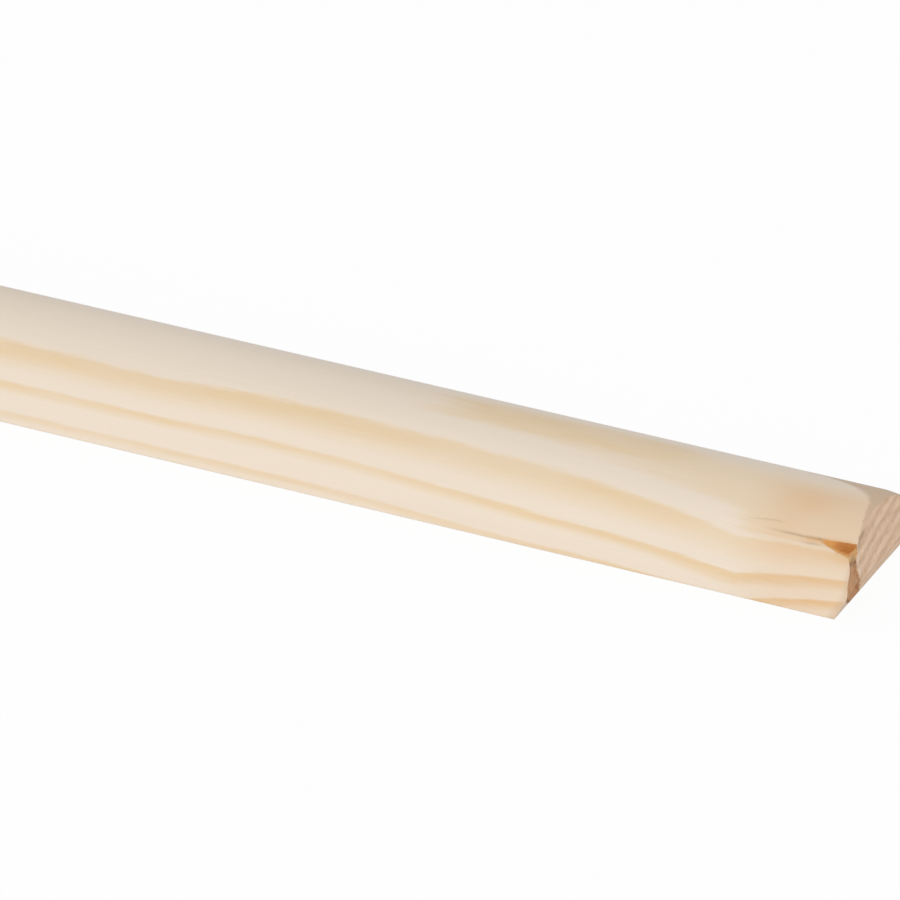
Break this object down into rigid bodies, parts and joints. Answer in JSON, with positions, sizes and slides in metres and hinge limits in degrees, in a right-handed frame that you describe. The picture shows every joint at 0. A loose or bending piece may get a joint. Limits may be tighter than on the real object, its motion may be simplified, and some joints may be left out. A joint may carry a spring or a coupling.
{
  "type": "half-round moulding",
  "caption": "Straight length of planed pine half-round trim: flat back, half-circle face, one rough sawn end with a short resin split, for covering joints and edges.",
  "frame": {"origin": "centre of the flat back, half way along the length", "axes": "+X along the length towards the rough sawn end, +Y across the back, +Z from the flat back towards the crown of the face"},
  "size_m": [2.4, 0.028, 0.014],
  "materials": {
    "pine": "planed, unfinished pine"
  },
  "bodies": {
    "root": {"half_round": "pine"}
  },
  "joints": []
}
